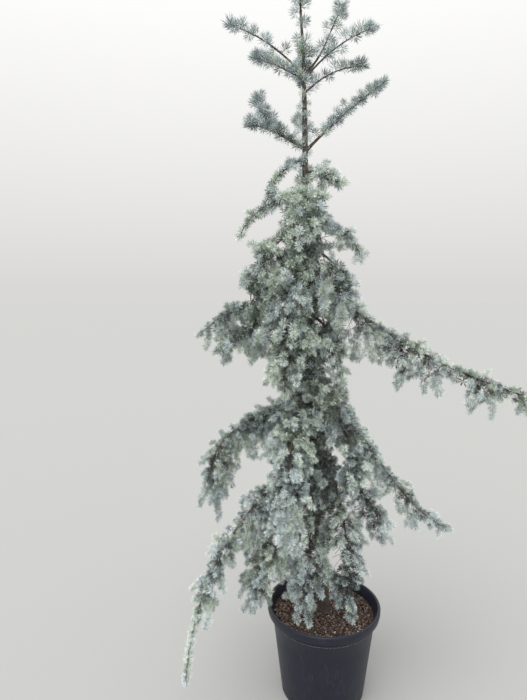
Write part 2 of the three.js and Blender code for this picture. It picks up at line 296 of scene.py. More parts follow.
def trunkAt(height):
    heights, *rest = zip(*trunk["stations"])
    x, y, radius = (float(np.interp(height, heights, column)) for column in rest)
    return Vector((x, y, height)) * mm, radius * mm


# The limb's line in equal steps, from the middle of the trunk to its tip
def limbPoints(name):
    height, heading, length, (base, middle, tip), _ = limbs[name]
    steps = limbShape["steps"]
    t = (np.arange(steps) + 0.5) / steps
    rise = np.radians(base * (1 - t) * (1 - 2 * t) + middle * 4 * t * (1 - t) + tip * t * (2 * t - 1))
    compass = math.radians(heading)
    moves = np.stack([np.cos(rise) * math.cos(compass), np.cos(rise) * math.sin(compass), np.sin(rise)], 1)
    start = np.array(trunkAt(height)[0])
    return np.vstack([start, start + np.cumsum(moves * length * mm / steps, axis=0)])


def pointAlong(points, share):
    place = share * (len(points) - 1)
    low = min(int(place), len(points) - 2)
    step = Vector(points[low + 1] - points[low])
    return Vector(points[low]) + step * (place - low), step.normalized()


def limbRadius(name, share):
    length, thick = limbs[name][2], limbs[name][4]
    collar = 1 + limbShape["collar"] * math.exp(-share * length / limbShape["collarLength"])
    return thick / 2 * mm * (1 - limbShape["taper"] * share) * collar


# A closed tube through rings of centre, direction and radius, extruded from a filled circle
def addTube(bm, rings, sides):
    loop = list(bmesh.ops.create_circle(bm, cap_ends=True, segments=sides, radius=1)["verts"])
    side = rings[0][1].orthogonal().normalized()
    for number, (centre, direction, radius) in enumerate(rings):
        if number:
            edges = [bm.edges.get(pair) for pair in zip(loop, loop[1:] + loop[:1])]
            grown = bmesh.ops.extrude_edge_only(bm, edges=edges)["geom"]
            fresh = {v for v in grown if isinstance(v, bmesh.types.BMVert)}
            loop = [next(e.other_vert(v) for e in v.link_edges if e.other_vert(v) in fresh) for v in loop]
        side = (side - direction * side.dot(direction)).normalized()
        across = direction.cross(side)
        for i, vertex in enumerate(loop):
            angle = fullTurn * i / sides
            reach = radius(angle) if callable(radius) else radius
            vertex.co = centre + (side * math.cos(angle) + across * math.sin(angle)) * reach
    bmesh.ops.contextual_create(bm, geom=loop)


# Moves each vertex out or in by a noise that is long along the stem, for the ridges of the bark
def raiseBark(bm, relief, stretch):
    bm.normal_update()
    for vertex in bm.verts:
        place = Vector((vertex.co.x, vertex.co.y, vertex.co.z * stretch)) * scaleFor(ridges["apart"])
        height = noise.fractal(place, ridges["falloff"], ridges["finer"], ridges["octaves"])
        vertex.co += vertex.normal * height * relief * mm


# The root flare: the trunk's foot is lobed
def flaredRadius(height, radius):
    foot = trunk["stations"][0][0]
    depth = trunk["flareDepth"] * max(0, (trunk["flareTop"] - height) / (trunk["flareTop"] - foot))
    return lambda angle: radius * (1 + depth * math.sin(trunk["flareLobes"] * angle))


def makeTrunk():
    foot, top = trunk["stations"][0][0], trunk["stations"][-1][0]
    count = round((top - foot) / trunk["ringStep"])
    even = {foot + (top - foot) * i / count for i in range(count + 1)}
    rings = []
    for height in sorted(even | {station[0] for station in trunk["stations"]}):
        centre, radius = trunkAt(height)
        rings.append((centre, up, flaredRadius(height, radius)))
    bm = bmesh.new()
    addTube(bm, rings, trunk["sides"])
    raiseBark(bm, trunk["relief"], trunk["reliefStretch"])
    piece = finishMesh(bm, "trunk_bark", [barkMaterial("fissuredTrunkBark", trunk["patternStretch"])])
    attach(piece, ["trunk"])


def makeLimbs():
    bm = bmesh.new()
    for name, (_, _, length, _, _) in limbs.items():
        points = limbPoints(name)
        count = round(length / limbShape["ringStep"])
        shares = [i / count for i in range(count + 1)]
        addTube(bm, [(*pointAlong(points, s), limbRadius(name, s)) for s in shares], limbShape["sides"])
    raiseBark(bm, limbShape["relief"], 1)
    piece = finishMesh(bm, "bough_bark", [barkMaterial("youngBoughBark", 1)])
    attach(piece, [name for name in nodes if name.startswith("bough_")])


# Growth. Shoots are sown through each mass, no nearer to each other than their room, and a tree of twigs
# joins them to the limb. A shoot points out of the mass, with tufts along it and a brush at its end.

growth = {
    "reach": 6 * mm,  # a mass also takes its limb's line this far outside
    "room": 24 * mm, "innerRoom": 27 * mm,
    "trial": 8.5 * mm,  # one trial spot for each cube of this side
    "margin": 14 * mm,  # a shoot is sown this far inside the mass, and its needles just pass the surface
    # painted shade: the deep single tufts, and those at the bottom of the slots, get dark tints by their
    # depth
    "shell": 27 * mm, "innerSize": 1.2,  # deeper than this are only single tufts, which stay dark
    "fingers": (15, 15, 6), "slot": 0.06,  # hanging fingers about 60 mm wide, with dark slots between
    "turnCost": 0.55, "pathCost": 0.3,
    "steps": (1, 2, 2, 2, 3, 3, 5), "step": 11 * mm,
    "foot": 0.8,  # steps from a shoot's foot to where it was sown
    "outward": 0.75, "downward": 0.4, "along": 0.3, "chance": 0.3, "droop": 0.16, "sway": 0.14,
    "rooted": 3, "fingerRoom": 9 * mm,  # past these steps a shoot is a finger, and keeps its distance
    "spacing": 12 * mm, "uneven": (0.75, 1.25),  # of the tufts on the limb itself
    "crowding": 0, "closest": 0.3,  # how much closer they stand at its end, and the limit to that
    "tipBack": 0, "tipTufts": (0, 9, 18),  # how far behind its end the last brush and others stand
    "spur": (1 * mm, 6 * mm),
    "lowest": -1,  # a spur that points down further than this points up instead
    "size": 1.0,
    # painted shade: how many tints darker than elsewhere a mass's needles are; below zero it is painted light
    "shade": 0,  # tints darker than elsewhere
    "kinds": ("rosette", "brush"),
}
brushHabit = {  # rising boughs: no side twigs, and large tufts close together
    "bare": True,
    "spacing": 8 * mm,
    "tipBack": 13 * mm,
    "spur": (5 * mm, 20 * mm),
    "lowest": -0.3,
    "size": 1.12,
    # painted shade on the boughs at the top
    "shade": 1.4,
    "kinds": ("fan", "plume"),
}
openHabit = {  # boughs at the top: the same, with tufts on spurs and bare stem between
    **brushHabit,
    "spacing": 27 * mm,
    "crowding": 0.55,
    "spur": (8 * mm, 19 * mm),
    "lowest": -0.5,
    "size": 1.24,
}
tailHabit = {"bare": True, "spacing": 8 * mm, "spur": (1 * mm, 5 * mm)}
skirtHabit = {"steps": (2, 3, 4, 5, 6), "shade": 1.1}
habitRows = [  # masses, and what is their own in how they grow
    ("top_left top_right_steep top_right_flat top_right_low", openHabit),
    ("top_left_low top_back", brushHabit),
    ("left_rising left_rising_low", {**brushHabit, "spur": (5 * mm, 26 * mm)}),
    ("right_rising", {**brushHabit, "spacing": 9 * mm, "crowding": 0.2, "spur": (5 * mm, 31 * mm)}),
    ("leader", {**openHabit, "spacing": 32 * mm, "crowding": 1.1, "spur": (10 * mm, 27 * mm)}),
    ("heart", {**openHabit, "spacing": 11 * mm, "crowding": 0, "spur": (8 * mm, 30 * mm)}),
    ("upper_back", {**brushHabit, "spacing": 26 * mm}),
    ("arch_back_left", {"room": 34 * mm, "innerRoom": 38 * mm}),
    # Painted light on the upper arches, painted shade on the middle, left and lower masses
    ("arch_left_upper arch_left_long arch_right right_short column_front", {"shade": -0.6}),
    ("left_mid front_mid right_mid front_right right_inner", {"shade": 0.3}),
    ("left_layer left_layer_low left_low_inner left_low_tip", {"shade": 0.8}),
    ("left_low_front front_low_left front_skirt", skirtHabit),
    ("front_left", {**skirtHabit, "shade": 0.2}),
    ("left_weeping_tip", tailHabit),
]
habits = {mass: habit for names, habit in habitRows for mass in names.split()}
fingerHabit = {  # the first steps of a finger are inside its mass
    # a finger's tufts take their painted shade as if it started this deep in its mass
    "firstSteps": 2, "stepsBack": 1.5, "depth": 9 * mm,
    "fanOut": 0.6, "droop": 0.26, "sway": 0.36,
    "seed": 5,
}
curtains = [  # fingers past a mass: where along its limb, spacing and lengths in mm, and the way if not down
    ("left_layer", 0.3, 0.9, 24, (30, 60)),
    ("left_layer_low", 0.2, 0.55, 16, (70, 120)),
    ("left_layer_low", 0.55, 0.9, 22, (25, 55)),
    ("right_long_inner", 0.04, 0.36, 20, (60, 125)),
    ("right_long_middle", 0.36, 0.56, 25, (20, 45)),
    ("right_long_tip", 0.77, 0.85, 13, (45, 75)),
    ("left_low_inner", 0.2, 0.6, 14, (80, 140)),
    ("left_low_tip", 0.6, 0.97, 14, (60, 130)),
    ("right_low_inner", 0.15, 0.6, 16, (60, 110)),
    ("right_low_tip", 0.6, 0.8, 30, (20, 40)),
    ("right_mid", 0.4, 1.0, 9, (50, 100), (-0.6, 0, -0.9)),
    ("front_left", 0.75, 1.0, 9, (110, 200)),
    ("left_weeping_inner", 0.12, 0.45, 18, (45, 110)),
    ("left_weeping_middle", 0.45, 0.7, 20, (30, 80)),
    ("left_low_front", 0.35, 0.65, 14, (50, 90), (0.9, -0.2, -0.8)),
    ("front_low_left", 0.45, 0.8, 15, (40, 70), (-0.9, 0, -0.8)),
    ("front_low_left", 0.4, 0.65, 14, (30, 50), (0.9, -0.2, -0.6)),
    ("front_skirt", 0.45, 0.65, 14, (30, 50), (-0.9, -0.2, -0.7)),
    ("left_low_front", 0.4, 0.9, 20, (30, 60), (-0.8, 0, -0.8)),
]
gaps = [  # openings seen through the crown: where in the camera's view, and half-widths, in pixels
    (292, 174, 6, 2), (288, 184, 9, 2), (265, 226, 11, 6), (279, 244, 3, 3), (247, 259, 6, 5),
    (248, 298, 6, 3), (325, 238, 5, 3), (324, 257, 4, 5), (320, 321, 5, 3), (349, 324, 4, 3),
    (257, 469, 13, 8), (336, 453, 2, 2), (341, 461, 2, 3), (335, 556, 6, 8), (241, 561, 3, 8),
    (228, 573, 3, 6), (364, 604, 7, 20), (347, 363, 5, 2), (393, 371, 2, 3), (458, 396, 6, 6),
    (482, 409, 5, 4), (508, 402, 5, 1),
]
view = {"width": 527, "height": 700, "clear": 3}  # the clear rim keeps needle tips out of the gaps
cut = {"beyond": 2.5 * mm, "depth": 18 * mm}  # where two masses meet, neither has an outside
potRoom = {"insideRim": 35, "outsideRim": 13, "overRim": 12, "overCompost": 14}  # mm, free of fingers
twig = {
    "least": 0.7 * mm, "swell": 0.24 * mm,  # radii at a tip, and more for each twig that it carries
    "join": 1.2,  # how much thicker it is where it leaves another
    "shootFoot": 1.05 * mm,
    "spurRadii": (1.26 * mm, 1.12 * mm),
    "stemRadii": (1.3 * mm, 1.0 * mm, 0.7 * mm),
    "smoothing": 2, "sides": 3, "seed": 3,
}
tufting = {
    "forward": 0.4, "lift": 0.35,  # how a tuft on a stem leans
    # painted shade: tufts deeper in their mass, and tufts that face down, get darker tints
    "depthPerShadeTint": 7 * mm,  # a tint darker for each such depth below the first
    "underside": 0.7, "mottle": 0.5,
    "sizes": (0.88, 1.1),
}
needleSizes = ((0.9, 2.3), (0.95, 1.35))  # heights, and the needles' size there

masses = [name[len("foliage_"):] for name in nodes if name.startswith("foliage_")]
boxes = {mass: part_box("foliage_" + mass) for mass in masses}
masses.sort(key=lambda mass: -boxes[mass][0].z - boxes[mass][1].z)
bodies = {}
for mass in masses:
    shell = nodes["foliage_" + mass].data
    bodies[mass] = BVHTree.FromPolygons([v.co for v in shell.vertices], [p.vertices for p in shell.polygons])

twigPaths = []  # points and radii
tufts = []  # mass, place, axis, size, kind and how dark
cell = 14 * mm
occupied = {}  # taken places, by the cube of one cell's width that they are in


def boxesMeet(first, second):
    (lowA, highA), (lowB, highB) = boxes[first], boxes[second]
    return all(lowA[i] < highB[i] + cut["beyond"] and lowB[i] < highA[i] + cut["beyond"] for i in range(3))


neighbours = {}
for mass in masses:
    neighbours[mass] = [other for other in masses if other != mass and boxesMeet(mass, other)]


# A ray straight up from inside a closed solid first meets a face from within
def isInside(mass, point):
    low, high = boxes[mass]
    if any(point[i] < low[i] or point[i] > high[i] for i in range(3)):
        return False
    surface, normal, _, _ = bodies[mass].ray_cast(point, up)
    return surface is not None and normal.z > 0


def inTrunk(point):
    centre, radius = trunkAt(point.z / mm)
    return math.hypot(point.x - centre.x, point.y - centre.y) < radius + cut["beyond"]


# How deep a point lies in a mass, and the way out. Faces where the mass was cut don't count as outside.
def depthIn(mass, point, margin):
    surface, normal, _, distance = bodies[mass].find_nearest(point)
    if not isInside(mass, point):
        return -distance, normal
    if distance > margin + cut["depth"]:
        return distance, normal
    beyond = surface + normal * cut["beyond"]
    isCut = inTrunk(beyond) or any(isInside(other, beyond) for other in neighbours[mass])
    return distance + (cut["depth"] if isCut else 0), normal


def roomAt(point, room):
    reach = math.ceil(room / cell)
    x, y, z = (math.floor(c / cell) for c in point)
    for i in range(x - reach, x + reach + 1):
        for j in range(y - reach, y + reach + 1):
            for k in range(z - reach, z + reach + 1):
                for other in occupied.get((i, j, k), ()):
                    if (other - point).length < room:
                        return False
    return True


def occupy(point):
    occupied.setdefault(tuple(math.floor(c / cell) for c in point), []).append(point.copy())


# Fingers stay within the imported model's box, and off the pot's rim and the compost
def isClear(point):
    pastRim = math.hypot(point.x, point.y) / mm - pot["rimRadius"]
    isOverRim = -potRoom["insideRim"] < pastRim < potRoom["outsideRim"]
    isAtRim = isOverRim and point.z < (pot["height"] + potRoom["overRim"]) * mm
    isLow = pastRim < 0 and point.z < (compost["top"] + potRoom["overCompost"]) * mm
    return all(cadLow[i] < point[i] < cadHigh[i] for i in range(3)) and not (isAtRim or isLow)


def aside(rnd, size):
    return Vector((rnd.uniform(-size, size), rnd.uniform(-size, size), rnd.uniform(-size, size)))


def needleScale(habit, height):
    return habit["size"] * float(np.interp(height, *needleSizes))


def isInGap(point):
    tilt = Matrix.Rotation(math.radians(studio["lookDown"]), 3, "X")
    seen = tilt @ (point - Vector(studio["eye"]))
    pixels = studio["lens"] / studio["sensor"] * view["height"] / seen.y
    x = view["width"] / 2 + seen.x * pixels
    y = view["height"] / 2 - seen.z * pixels
    rim = view["clear"]
    return any(math.hypot((x - a) / (wide + rim), (y - b) / (tall + rim)) < 1 for a, b, wide, tall in gaps)


# Painted shade: a tuft's tint is darker the deeper it lies in its mass, with a random mottle, and darker
# still where it faces down
def addTuft(mass, place, axis, size, kind, depth, habit, rnd):
    if isInGap(place):
        return
    axis = axis.normalized()
    inner = tufting["depthPerShadeTint"]
    dark = habit["shade"] + max(0, depth - inner) / inner + rnd.gauss(0, tufting["mottle"])
    dark += max(0, -axis.z) * tufting["underside"]
    tufts.append((mass, place.copy(), axis, size * rnd.uniform(*tufting["sizes"]), kind, dark))


def aroundStem(direction, turn):
    return Matrix.Rotation(turn, 3, direction) @ direction.orthogonal().normalized()


def leanOut(radial, direction):
    return radial + direction * tufting["forward"] + up * tufting["lift"]


def addSpur(foot, spot):
    twigPaths.append(([foot, spot], twig["spurRadii"]))


def sowShoots(mass, habit, rnd):
    low, high = boxes[mass]
    size = high - low
    sown = []
    for _ in range(int(size.x * size.y * size.z / habit["trial"] ** 3)):
        spot = Vector([rnd.uniform(a, b) for a, b in zip(low, high)])
        depth, outward = depthIn(mass, spot, habit["margin"])
        isDeep = depth > habit["shell"]
        isHollow = abs(noise.noise(spot * Vector(habit["fingers"]))) < habit["slot"]
        if depth < habit["margin"] or isHollow and not isDeep:
            continue
        if roomAt(spot, habit["innerRoom"] if isDeep else habit["room"]):
            occupy(spot)
            sown.append((spot, depth, outward))
    return sown


# The twigs: a tree from the stem's points through all sown spots, with places, parents and weights
def joinShoots(stem, stemHeadings, sown, habit):
    stemCount = len(stem)
    count = stemCount + len(sown)
    place = np.zeros((count, 3))
    heading = np.zeros((count, 3))
    path = np.zeros(count)
    parent = [-1] * count
    place[:stemCount] = stem
    heading[:stemCount] = stemHeadings
    for i, (spot, _, _) in enumerate(sown, stemCount):
        reach = np.array(spot) - place[:i]
        distance = np.linalg.norm(reach, axis=1) + 1e-9
        turn = 1 - np.einsum("ij,ij->i", reach, heading[:i]) / distance
        best = int(np.argmin(distance * (1 + habit["turnCost"] * turn) + habit["pathCost"] * path[:i]))
        parent[i] = best
        place[i] = spot
        heading[i] = reach[best] / distance[best]
        path[i] = path[best] + distance[best]
    weight = [1] * count
    for i in range(count - 1, stemCount - 1, -1):
        weight[parent[i]] += weight[i]
    heaviest = {}
    for i in range(stemCount, count):
        best = heaviest.get(parent[i])
        if best is None or weight[i] > weight[best]:
            heaviest[parent[i]] = i
    for _ in range(twig["smoothing"]):
        for i in range(stemCount, count):
            if i in heaviest:  # halfway to the middle of its neighbours
                place[i] = 0.5 * place[i] + 0.25 * (place[parent[i]] + place[heaviest[i]])
    return place, parent, weight, heaviest


# Leaves off a chain's end where it would hang bare in a gap, and carries no other twig
def outOfGaps(chain, place, weight):
    for left in range(len(chain)):
        node = chain[-1 - left]
        if weight[node] > left + 1 or not isInGap(Vector(place[node])):
            return chain[:len(chain) - left]
    return []


def addTwigs(place, parent, weight, heaviest, stemCount):
    for i in range(stemCount, len(parent)):
        if parent[i] >= stemCount and heaviest[parent[i]] == i:
            continue
        chain = [i]
        while chain[-1] in heaviest:
            chain.append(heaviest[chain[-1]])
        chain = outOfGaps(chain, place, weight)
        if not chain:
            continue
        radii = [twig["least"] + twig["swell"] * math.sqrt(weight[n]) for n in chain]
        points = [Vector(place[n]) for n in [parent[i]] + chain]
        twigPaths.append((points, [radii[0] * twig["join"]] + radii))


# A shoot from points that are already joined on: tufts turning round it, and a brush at its end. Past its
# rooted steps it's a finger beyond the mass's surface, and stops where it meets another.
def growShoot(mass, points, heading, steps, depth, outward, habit, rnd):
    size = needleScale(habit, points[-1].z)
    side, end = habit["kinds"]
    turn = rnd.uniform(0, fullTurn)
    for number in range(steps):
        point = points[-1] + heading * habit["step"] * size
        if isInGap(point):
            break
        if number >= habit["rooted"]:
            if not (isClear(point) and roomAt(point, habit["fingerRoom"])):
                break
            occupy(point)
        turn += goldenTurn
        radial = aroundStem(heading, turn)
        spot = (points[-1] + point) / 2 + radial * rnd.uniform(*habit["spur"])
        addTuft(mass, spot, leanOut(radial, heading), size, side, depth, habit, rnd)
        points.append(point)
        # painted shade: each step out of the mass makes the next tufts' tints paler
        depth -= heading.dot(outward) * habit["step"] * size
        heading = (heading - up * habit["droop"] + aside(rnd, habit["sway"])).normalized()
    addTuft(mass, points[-1], heading, size, end, depth, habit, rnd)
    if len(points) > 1:
        twigPaths.append((points, [twig["shootFoot"]] + [twig["least"]] * (len(points) - 1)))


# A long limb's masses are named after it and a part of it
def limbOf(mass):
    return mass if mass in limbs else mass.rsplit("_", 1)[0]


def growMass(mass, seed):
    limb = limbOf(mass)
    habit = {**growth, **habits.get(mass, {})}
    rnd = random.Random(seed)
    line = limbPoints(limb)
    length = limbs[limb][2] * mm
    inside = [i for i in range(len(line) - 1) if depthIn(mass, Vector(line[i]), 0)[0] > -habit["reach"]]
    clotheLimb(mass, limb, line, inside, habit, rnd)
    if "bare" in habit:
        return
    stem = line[inside]
    stemHeadings = np.array([line[i + 1] - line[i] for i in inside]) * (len(line) - 1) / length
    sown = sowShoots(mass, habit, rnd)
    sown.sort(key=lambda item: float(np.min(np.linalg.norm(stem - np.array(item[0]), axis=1))))
    place, parent, weight, heaviest = joinShoots(stem, stemHeadings, sown, habit)
    addTwigs(place, parent, weight, heaviest, len(stem))
    for i, (_, depth, outward) in enumerate(sown, len(stem)):
        here = Vector(place[i])
        if isInGap(here):
            continue
        heading = Vector(place[i] - place[parent[i]]).normalized()
        if depth > habit["shell"]:
            size = habit["innerSize"] * needleScale(habit, here.z)
            addTuft(mass, here, heading + outward, size, "inner", depth, habit, rnd)
            continue
        heading = (outward * habit["outward"] + heading * habit["along"] - up * habit["downward"]
                   + aside(rnd, habit["chance"])).normalized()
        foot = here - heading * habit["foot"] * habit["step"]
        depth += habit["foot"] * habit["step"] * heading.dot(outward)
        growShoot(mass, [foot], heading, rnd.choice(habit["steps"]), depth, outward, habit, rnd)


# Tufts on the limb itself, turning round it, and a full brush where it ends
def clotheLimb(mass, limb, line, inside, habit, rnd):
    length = limbs[limb][2] * mm
    start, end = (i / (len(line) - 1) * length for i in (inside[0], inside[-1] + 1))
    walked = start
    side, last = habit["kinds"]
    turn = rnd.uniform(0, fullTurn)
    while walked < end - habit["tipBack"]:
        point, direction = pointAlong(line, walked / length)
        turn += goldenTurn
        radial = aroundStem(direction, turn)
        if radial.z < habit["lowest"]:
            radial.z = -radial.z
        spur = rnd.uniform(*habit["spur"])
        spot = point + radial * (limbRadius(limb, walked / length) + spur)
        depth = 0 if "bare" in habit else depthIn(mass, spot, 0)[0]
        addSpur(point, spot)
        size = needleScale(habit, point.z)
        addTuft(mass, spot, leanOut(radial, direction), size, side, depth, habit, rnd)
        crowded = max(habit["closest"], 1 - habit["crowding"] * (walked - start) / (end - start))
        walked += habit["spacing"] * crowded * rnd.uniform(*habit["uneven"])
    isLimbEnd = inside[-1] >= len(line) - 3
    if isLimbEnd:
        tip, direction = pointAlong(line, 1)
        tip -= direction * habit["tipBack"]
        size = needleScale(habit, tip.z)
        for back in habit["tipTufts"]:
            turn += goldenTurn
            at = tip - direction * back * mm * size
            axis = direction + aroundStem(direction, turn) * back / habit["tipTufts"][-1]
            addTuft(mass, at, axis, size, last if back == 0 else side, 0, habit, rnd)


def growCurtain(rnd, mass, first, last, spacing, lengths, toward=(0, 0, -1)):
    shade = habits.get(mass, growth).get("shade", growth["shade"])
    habit = {**growth, **fingerHabit, "shade": shade}
    limb = limbOf(mass)
    line = limbPoints(limb)
    count = round((last - first) * limbs[limb][2] / spacing)
    wide = habit["fanOut"]
    for i in range(count):
        point, _ = pointAlong(line, first + (last - first) * (i + rnd.random()) / count)
        fan = Vector((rnd.uniform(-wide, wide), rnd.uniform(-wide, wide), 0))
        heading = (Vector(toward) + fan).normalized()
        surface = bodies[mass].ray_cast(point, heading)[0]
        if surface is None:
            continue
        start = surface - heading * habit["stepsBack"] * habit["step"]
        steps = habit["firstSteps"] + round(rnd.uniform(*lengths) * mm / habit["step"])
        growShoot(mass, [point, start], heading, steps, habit["depth"], heading, habit, rnd)


# Short shoots on the trunk: close in the crown, where they hide it, and single spurs near the top
stemShoots = {
    "from": 760, "dense": 1900, "to": 2400,  # heights
    "trials": 12000, "room": 19 * mm,
    "reach": 60 * mm, "reaches": (0.1, 1),
    "foot": 0.8, "footLift": (-20 * mm, 30 * mm),  # where it starts, in shares of the radius, and up
    "crook": 4 * mm, "lift": 0.4, "chance": 0.5,
    # the depths given here set only the painted shade of these tufts
    "size": 1.1, "depth": 26 * mm,
    "spurs": (3, 12), "spurSpacing": 17, "uneven": (0.6, 1.4),
    "spurSizes": (0.8, 1.05), "spurShadeDepth": 12 * mm,
    "seed": 71, "needleSeed": 99,
}


def growStemShoots():
    shoots = stemShoots
    rnd = random.Random(shoots["seed"])
    for _ in range(shoots["trials"]):
        height = rnd.uniform(shoots["from"], shoots["dense"])
        centre, radius = trunkAt(height)
        radial = aroundStem(up, rnd.uniform(0, fullTurn))
        spot = centre + radial * (radius + shoots["reach"] * rnd.uniform(*shoots["reaches"]))
        if not roomAt(spot, shoots["room"]):
            continue
        occupy(spot)
        foot = centre + radial * radius * shoots["foot"] + up * rnd.uniform(*shoots["footLift"])
        middle = (foot + spot) / 2 + aside(rnd, shoots["crook"])
        twigPaths.append(([foot, middle, spot], twig["stemRadii"]))
        axis = radial + up * shoots["lift"] + aside(rnd, shoots["chance"])
        size = shoots["size"] * needleScale(growth, spot.z)
        addTuft("trunk", spot, axis, size, "inner", shoots["depth"], growth, rnd)
    height = shoots["dense"]
    turn = 0
    while height < shoots["to"]:
        centre, radius = trunkAt(height)
        turn += goldenTurn
        radial = aroundStem(up, turn)
        spot = centre + radial * (radius + rnd.uniform(*shoots["spurs"]) * mm)
        addSpur(centre, spot)
        size = needleScale(growth, spot.z) * rnd.uniform(*shoots["spurSizes"])
        addTuft("trunk", spot, radial + up * shoots["lift"], size, "fan", shoots["spurShadeDepth"], growth, rnd)
        height += shoots["spurSpacing"] * rnd.uniform(*shoots["uneven"])


# Needles: each is a kite of two triangles, bent across its middle, and wider than life so that the count
# stays near a million. Rosettes and fans sit on short spurs, brushes and plumes end a shoot, and inner
# tufts are seen only through gaps.

needle = {
    "length": 17.5 * mm, "lengths": (0.75, 1.1),
    "widest": 0.6, "bend": 0.1, "roll": 0.5,
    "foot": 1.0 * mm,  # how far from the tuft's middle it starts
    "leastLean": 16,  # degrees, at a brush's end
    "leanChance": 0.15, "turnChance": 0.3,
    # painted shade at a tuft's middle: a needle's foot is this many tints darker than its tip
    "footShade": (1, 1, 2),  # tints
}
tuftKinds = {  # fans and plumes are for the boughs seen against the sky, and have finer needles
    "rosette": {"count": 30, "width": 2.0 * mm, "spread": 95, "stem": 0},
    "brush": {"count": 32, "width": 1.9 * mm, "spread": 66, "stem": 20 * mm},
    "inner": {"count": 15, "width": 3.2 * mm, "spread": 115, "stem": 0},
    "fan": {"count": 54, "width": 1.4 * mm, "spread": 96, "stem": 7 * mm},
    "plume": {"count": 72, "width": 1.3 * mm, "spread": 74, "stem": 26 * mm},
}
templatesPerKind = 8
trianglesPerPiece = 190000

# Cedar needles carry a thin bloom of wax, which scatters light and hides the green under it. Each tint is
# a plain colour: pale where the wax is new, greener on old needles; the darker ones are painted shade.
blueTints = ["#DCE5E4", "#C8D4D3", "#AFBCBC", "#8C9999", "#5B6666", "#363F3D", "#1F2523"]
greenTints = ["#DEE6DC", "#CBD6C9", "#B1BEAF", "#8F9C8D", "#5E6A5D", "#394238", "#22281F"]
green = {
    "patches": 8,  # per metre
    "mottle": 0.4,
    "rarity": ((0.8, 1.3, 2.0, 2.2), (0.3, -0.05, -0.2, 0.5)),  # heights, and how rare green is there
}


# The needle's flat side faces the tuft's axis, more or less, and it curves in toward its tip
def needleKite(base, direction, length, width, rnd):
    roll = Matrix.Rotation(rnd.gauss(0, needle["roll"]), 3, direction)
    side = roll @ up.cross(direction).normalized()
    arch = side.cross(direction) * needle["bend"] * length
    middle = base + direction * length * needle["widest"] + arch
    return [base, middle + side * width / 2, base + direction * length, middle - side * width / 2]


def makeTemplate(kind, rnd):
    count, width, spread, stem = (tuftKinds[kind][key] for key in ("count", "width", "spread", "stem"))
    kites = []
    for i in range(count):
        share = (i + 0.5) / count
        if stem:
            lean = math.radians(spread - (spread - needle["leastLean"]) * share)
        else:
            lean = math.acos(1 - share * (1 - math.cos(math.radians(spread))))
        lean += rnd.uniform(-needle["leanChance"], needle["leanChance"])
        turn = i * goldenTurn + rnd.uniform(-needle["turnChance"], needle["turnChance"])
        direction = Vector((math.sin(lean) * math.cos(turn), math.sin(lean) * math.sin(turn), math.cos(lean)))
        base = Vector((0, 0, stem * (share - 1))) + direction * needle["foot"]
        length = needle["length"] * rnd.uniform(*needle["lengths"])
        kites.append(needleKite(base, direction, length, width, rnd))
    return np.array(kites)


def makeNeedles(name, chosen, templates, materials, seed):
    rnd = random.Random(seed)
    levels = len(blueTints)
    blocks, tints = [], []
    for _, place, axis, size, kind, dark in chosen:
        template = rnd.choice(templates[kind])
        turn = axis.to_track_quat("Z", "Y").to_matrix() @ Matrix.Rotation(rnd.uniform(0, fullTurn), 3, "Z")
        blocks.append(template.reshape(-1, 3) @ (np.array(turn).T * size) + np.array(place))
        greenness = noise.noise(place * green["patches"]) + rnd.gauss(0, green["mottle"])
        isGreen = greenness > float(np.interp(place.z, *green["rarity"]))
        # painted shade: the tip's tint follows how dark the tuft is, and the foot is darker still
        tip = min(levels - 2, max(0, round(dark)))
        foot = min(levels - 1, tip + rnd.choice(needle["footShade"]))
        tints.append(np.tile(np.array([foot, tip]) + isGreen * levels, len(template)))
    points = np.concatenate(blocks)
    first = np.arange(0, len(points), 4)[:, None]
    faces = np.stack([first + [0, 1, 3], first + [3, 1, 2]], 1).reshape(-1, 3)
    return meshFromArrays(name, points, faces, np.concatenate(tints), materials)


# Young shoots: thin dry bark, tan where it is new and grey-brown where it is older
twigTints = ["#7D6C5E", "#655850", "#544C45"]
twigTintShares = (4, 3, 2)


# Thin closed tubes, thinnest at their tips
def makeTwigs():
    rnd = random.Random(twig["seed"])
    sides = twig["sides"]
    angles = fullTurn * np.arange(sides) / sides
    points, faces, tints = [], [], []
    start = 0
    for path, radii in twigPaths:
        side = (path[1] - path[0]).orthogonal().normalized()
        for i, (centre, radius) in enumerate(zip(path, radii)):
            ahead = (path[min(i + 1, len(path) - 1)] - path[max(i - 1, 0)]).normalized()
            side = (side - ahead * side.dot(ahead)).normalized()
            across = ahead.cross(side)
            ring = np.outer(np.cos(angles), side) + np.outer(np.sin(angles), across)
            points.append(np.array(centre) + ring * radius)
        for i in range(len(path) - 1):
            for k in range(sides):
                a, b = start + i * sides + k, start + i * sides + (k + 1) % sides
                faces += [(a, b, b + sides), (a, b + sides, a + sides)]
        end = start + (len(path) - 1) * sides
        faces += [(start, start + 2, start + 1), (end, end + 1, end + 2)]
        tint = rnd.choices(range(len(twigTints)), twigTintShares)[0]
        tints += [tint] * (2 * sides * (len(path) - 1) + 2)
        start = end + sides
    materials = [newMaterial(f"twigBark_{i}", c, 0.85)[0] for i, c in enumerate(twigTints)]
    return meshFromArrays("twigs", np.concatenate(points), np.array(faces), np.array(tints), materials)


# Tiers of masses from the top down, whose needles make one piece of less than 200,000 triangles each
def groupMasses(templates):
    tiers, filled = [[]], 0
    for mass in masses:
        count = sum(2 * len(templates[tuft[4]][0]) for tuft in tufts if tuft[0] == mass)
        if filled + count > trianglesPerPiece:
            tiers.append([])
            filled = 0
        tiers[-1].append(mass)
        filled += count
    return tiers


